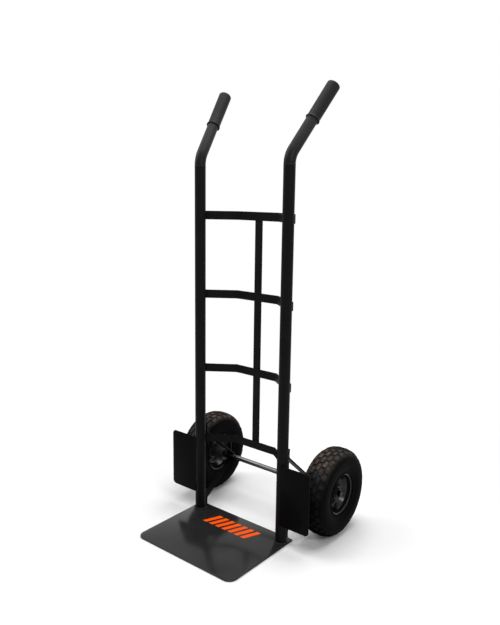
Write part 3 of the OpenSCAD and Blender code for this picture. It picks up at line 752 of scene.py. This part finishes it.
# each row is laid out flat, then wrapped round the casing with its blocks leaning out
pitch, near = 2 * pi * tyre_r / blocks_n, 0.0005
rows = []
for row in range(-2, 3):
    only(block)
    bpy.ops.object.duplicate()
    tread = bpy.context.object
    bpy.ops.object.modifier_add(type="ARRAY")
    tread.modifiers["Array"].count = blocks_n
    tread.modifiers["Array"].use_relative_offset = False
    tread.modifiers["Array"].use_constant_offset = True
    tread.modifiers["Array"].constant_offset_displace = (pitch, 0, 0)
    bpy.ops.object.modifier_apply(modifier="Array")
    middle = row * row_pitch * (1 - row_crowd * abs(row))
    lean = -atan2(tread_r(middle + near) - tread_r(middle - near), 2 * near)
    stagger = pitch * (0.5 if row % 2 else 0.0)
    for v in tread.data.vertices:
        a = (v.co.x + stagger) / tyre_r
        x = middle + v.co.y
        r = tread_r(x) + v.co.z * cos(lean)
        v.co = (r * cos(a), r * sin(a), x + v.co.z * sin(lean))
    rows.append(tread)
bpy.data.objects.remove(block)
tyre = on_axle(join([body] + rows, "right_tread_tyre"), wheel_x)

# the paler greys and browns serve both dust and the painted light on the top of the tyre
rubber_black, rubber_patch_and_lit_grey = (0.0028, 0.0024, 0.0026, 1), (0.0040, 0.0034, 0.0036, 1)
dust_and_light_grey, dust_and_light_brown = (0.098, 0.100, 0.108, 1), (0.185, 0.150, 0.130, 1)
worn_from, worn_to, top_light_h = 0.108, 0.1285, 0.135
material, f = new_finish("tyre_rubber")
y = f.along("Y") - axle_y
z = f.along("Z") - axle_z
worn = f.step(f.math("SQRT", y * y + z * z), worn_from, worn_to)
# painted light: the tread is painted paler towards the top of the tyre, as if lit from above
painted_top_light = f.step(z, 0.0, top_light_h) * 0.9 + 0.1
grime = f.noise(scale=55.0, detail=4.0, rough=0.65)
dust_and_top_light = (f.step(grime, low=0.36, high=0.72) * 0.6 + 0.4) * worn * painted_top_light
# the warm tint comes in random patches, plus more towards the top as painted warm light
warm_patches_and_top_light = f.step(f.noise(scale=11.0) + (z - 0.075) * 2.2, low=0.40, high=0.62)
grain = f.noise(scale=900.0) + grime * 0.6
rubber = f.mix(warm_patches_and_top_light, rubber_black, rubber_patch_and_lit_grey)
f.surface({
    "Base Color": f.mix(dust_and_top_light * 0.8, rubber, f.mix(warm_patches_and_top_light, dust_and_light_grey, dust_and_light_brown)),
    "Roughness": 0.52,
    "Normal": f.bump(grain, strength=0.16, depth=0.0005),
    "Specular IOR Level": 0.012})
complete(tyre, material, angle=32)
for piece, side in ((tyre, "right"), (other_side(tyre, "left_tread_tyre"), "left")):
    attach(piece, side + "_wheel")
    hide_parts(side + "_tyre")


# Rims: two halves pressed from steel sheet. Each is a deep dish: a flat disc, a
# sloping wall, a seat for the tyre's bead and a rolled lip. They are stoved in gloss
# black enamel.
sheet_t, sheet_mid, hub_hole_r = 0.0019, 0.0011, 0.0202
wall_foot_r, seat_r, seat_x, lip_x = 0.0440, 0.056, 0.0181, 0.031
lip_r, curl_r = 0.0616, 0.0015
bends = (
    # radius, distance from the other half, and how far its bend starts before it
    (wall_foot_r, sheet_mid, 0.0052), (seat_r, seat_x, 0.0014), (seat_r, lip_x, 0.0028))
rim_gloss = coat("rim_gloss_enamel", grey(0.0060), rough=0.19, peel=0.03, shine=0.25)
half_rim = draw("rim_section", [
    (hub_hole_r, 0, sheet_mid), *((r, 0, x) for r, x, start in bends), (lip_r, 0, lip_x)])
for r, x, start in bends:
    pick("VERT", lambda v: abs(v.co.x - r) < 2e-5 and abs(v.co.z - x) < 2e-5)
    bpy.ops.mesh.bevel(offset=start, segments=8, affect="VERTICES")
# the lip is curled over its own edge in short steps
pick("VERT", lambda v: abs(v.co.x - lip_r) < 2e-5)
for k in range(10):
    a, b = radians(-90 + 22 * k), radians(-68 + 22 * k)
    bpy.ops.mesh.extrude_region_move(TRANSFORM_OT_translate={
        "value": (curl_r * (cos(b) - cos(a)), 0, curl_r * (sin(b) - sin(a)))})
bpy.ops.mesh.select_all(action="SELECT")
bpy.ops.mesh.spin(steps=96, angle=2 * pi, center=(0, 0, 0), axis=(0, 0, 1))
bpy.ops.mesh.select_all(action="SELECT")
bpy.ops.mesh.remove_doubles(threshold=0.000002)
bpy.ops.mesh.normals_make_consistent(inside=False)
bpy.ops.object.mode_set(mode="OBJECT")
bpy.ops.object.modifier_add(type="SOLIDIFY")
half_rim.modifiers["Solidify"].thickness = sheet_t
half_rim.modifiers["Solidify"].offset = 0
bpy.ops.object.modifier_apply(modifier="Solidify")
halves = []
for name, facing in (("dished_rim", 90), ("back_rim", -90)):
    only(half_rim)
    bpy.ops.object.duplicate()
    piece = on_axle(bpy.context.object, wheel_x)
    piece.name = piece.data.name = "right_" + name
    piece.rotation_euler = (0, radians(facing), 0)
    halves.append((complete(piece, rim_gloss, angle=30), "left_" + name))
for (piece, left), node in zip(halves, ("outer_rim", "inner_rim")):
    for shown, side in ((piece, "right"), (other_side(piece, left), "left")):
        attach(shown, side + "_wheel")
        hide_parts(f"{side}_{node}")
bpy.data.objects.remove(half_rim)


# Rim bolts: four hexagon bolts with nuts and thin washers clamp the two halves
# together. They are zinc plated and have gone dark.
def hexagon(name, low, height, flats):
    """A chamfered hexagon head or nut, standing on z = low."""
    high, chamfer = low + height, 0.0009
    bpy.ops.object.select_all(action="DESELECT")
    bpy.ops.mesh.primitive_cylinder_add(
        vertices=6, radius=flats / sqrt(3), depth=height, location=(0, 0, low + height / 2))
    head = bpy.context.object
    bpy.ops.object.transform_apply()
    crown = turn("crown", [
        (0.0, low - 0.0001), (flats * 0.56, low - 0.0001), (flats * 0.56, high - chamfer),
        (flats * 0.47, high), (0.0, high)], steps=48)
    only(head)
    bpy.ops.object.modifier_add(type="BOOLEAN")
    head.modifiers["Boolean"].operation = "INTERSECT"
    head.modifiers["Boolean"].object = crown
    bpy.ops.object.modifier_apply(modifier="Boolean")
    bpy.data.objects.remove(crown)
    head.name = name
    return head


bolts_n, bolt_circle_r, shank_r, thread_r, flats = 4, 0.031, 0.0040, 0.0036, 0.013
shank_top, shank_foot, tip, thread_pitch = 0.0068, -0.0100, -0.0138, 0.0007
head_z, nut_z, head_h = 0.0033, -0.0085, 0.0052
clamp_z, clamp_r, clamp_t = (0.0021, -0.0033), 0.0080, 0.0012
shank = [(0.0, shank_top), (shank_r, shank_top), (shank_r, shank_foot)]
for k in range(4):
    groove = shank_foot - 0.0011 - thread_pitch * k
    shank += [(thread_r, groove), (shank_r, groove - thread_pitch / 2)]
stud = turn("stud", shank + [(0.0034, tip), (0.0, tip)], steps=24)
# the head lies on the outer half, the nut on the inner one
parts = [stud, hexagon("head", head_z, head_h, flats), hexagon("nut", nut_z, head_h, flats)]
for z in clamp_z:
    parts.append(ring("thin_washer", shank_r + 0.0001, clamp_r, z, z + clamp_t, steps=32, bevel=0.0003))
bolt = join(parts, "bolt")
bolts = []
for k in range(bolts_n):
    only(bolt)
    bpy.ops.object.duplicate()
    piece = bpy.context.object
    a = radians(45 + 90 * k)
    piece.location = (bolt_circle_r * cos(a), bolt_circle_r * sin(a), 0)
    piece.rotation_euler = (0, 0, radians(20 + 37 * k))
    bpy.ops.object.transform_apply()
    bolts.append(piece)
bpy.data.objects.remove(bolt)
bolts = on_axle(join(bolts, "right_bolt_set"), wheel_x)
bolt_zinc = steel("bolt_zinc_skin", (0.026, 0.026, 0.027, 1), rough=0.42)
complete(bolts, bolt_zinc, angle=30)
for piece, side in ((bolts, "right"), (other_side(bolts, "left_bolt_set"), "left")):
    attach(piece, side + "_wheel")
    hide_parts(side + "_rim_bolts")


# Hubs: a steel tube through both rim halves, longer on the side of the stay, with a
# shielded ball bearing pressed into each end. Its enamel is satin, painted paler than the
# rims' as painted light, and its outer end, deep in the dish, is painted dark as painted shade.
hub_r, hub_edge, collar_r, collar_half = 0.0200, 0.0004, 0.0224, 0.0026
race_r, race_l, bore_r = 0.0176, 0.012, 0.0157
barrel = turn("right_hub_tube", [
    (race_r, -hub_in), (hub_r - hub_edge, -hub_in), (hub_r, -hub_in + hub_edge),
    (hub_r, -2 * collar_half), (collar_r, -collar_half), (collar_r, collar_half),
    (hub_r, 2 * collar_half), (hub_r, hub_out - hub_edge), (hub_r - hub_edge, hub_out),
    (race_r, hub_out), (race_r, hub_out - race_l), (bore_r, hub_out - race_l),
    (bore_r, -hub_in + race_l), (race_r, -hub_in + race_l), (race_r, -hub_in)])
material, f = new_finish("hub_satin_enamel")
# painted shade: the outer end of the hub, deep in the dish, goes dark
painted_end_shade = f.step(abs(f.along("X")), wheel_x + 0.008, wheel_x + 0.016)
cloud = f.noise(scale=24.0, detail=3.0)
# painted light: this enamel is paler than the rims' one, standing in for light on the tube
enamel = f.mix(f.step(cloud, low=0.35, high=0.7), grey(0.030), grey(0.038))
f.surface({
    "Base Color": f.mix(painted_end_shade, enamel, grey(0.004)),
    "Roughness": cloud * 0.12 + 0.30,
    "Specular IOR Level": 0.24})
complete(on_axle(barrel, wheel_x), material, angle=30)
bearing_l, shield_depth = 0.011, 0.0007
bearings = []
for start in (-hub_in + 0.001, hub_out - race_l):
    end = start + bearing_l
    shield_in, shield_out = start + shield_depth, end - shield_depth
    bearings.append(turn("bearing", [
        (0.00805, start), (0.0112, start), (0.0113, shield_in), (0.0143, shield_in),
        (0.0144, start), (0.0175, start), (0.0175, end), (0.0144, end), (0.0143, shield_out),
        (0.0113, shield_out), (0.0112, end), (0.00805, end), (0.00805, start)]))
bearings = on_axle(join(bearings, "right_bearing_pair"), wheel_x)
bearing_steel = steel("bearing_steel", (0.035, 0.035, 0.036, 1), rough=0.42)
complete(bearings, bearing_steel, angle=30)
for piece, left, node, slot in (
        (barrel, "left_hub_tube", "hub", "rim_paint"),
        (bearings, "left_bearing_pair", "hub_bearings", "bearing_steel")):
    for shown, side in ((piece, "right"), (other_side(piece, left), "left")):
        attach(shown, side + "_wheel")
        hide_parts(f"{side}_{node}")


# Inner tubes and valves: the tube's rubber stem comes out through the outer rim,
# with a ribbed plastic cap screwed on.
tube_rubber = coat("tube_rubber_skin", grey(0.006), rough=0.6, peel=0.08, shine=0.08)
dress(["left_inner_tube", "right_inner_tube"], tube_rubber)
cap_r, cap_l, cap_foot, rib = 0.0046, 0.0090, 0.0012, 1.08
valve_x, valve_off = 0.016, 0.035
cap = turn("right_ribbed_cap", [
    (0.0, -0.0010), (0.0030, -0.0010), (0.0044, 0.0), (cap_r, cap_foot), (cap_r, cap_l),
    (0.0041, cap_l), (0.0041, cap_foot), (0.0, cap_foot)], steps=36)
edit(cap)
pick("VERT", lambda v: hypot(v.co.x, v.co.y) > cap_r - 0.0001
     and round(atan2(v.co.y, v.co.x) / radians(10)) % 2 == 0)
bpy.ops.transform.resize(value=(rib, rib, 1.0), center_override=(0, 0, 0))
bpy.ops.object.mode_set(mode="OBJECT")
cap.rotation_euler = (0, radians(180), 0)
cap.location = (wheel_x + valve_x, axle_y, axle_z - valve_off)
cap_coat = coat("cap_plastic_skin", grey(0.005), rough=0.5, peel=0.05, shine=0.12)
complete(cap, cap_coat, angle=25)
for piece, side in ((cap, "right"), (other_side(cap, "left_ribbed_cap"), "left")):
    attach(piece, side + "_wheel")
    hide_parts(side + "_valve_cap")
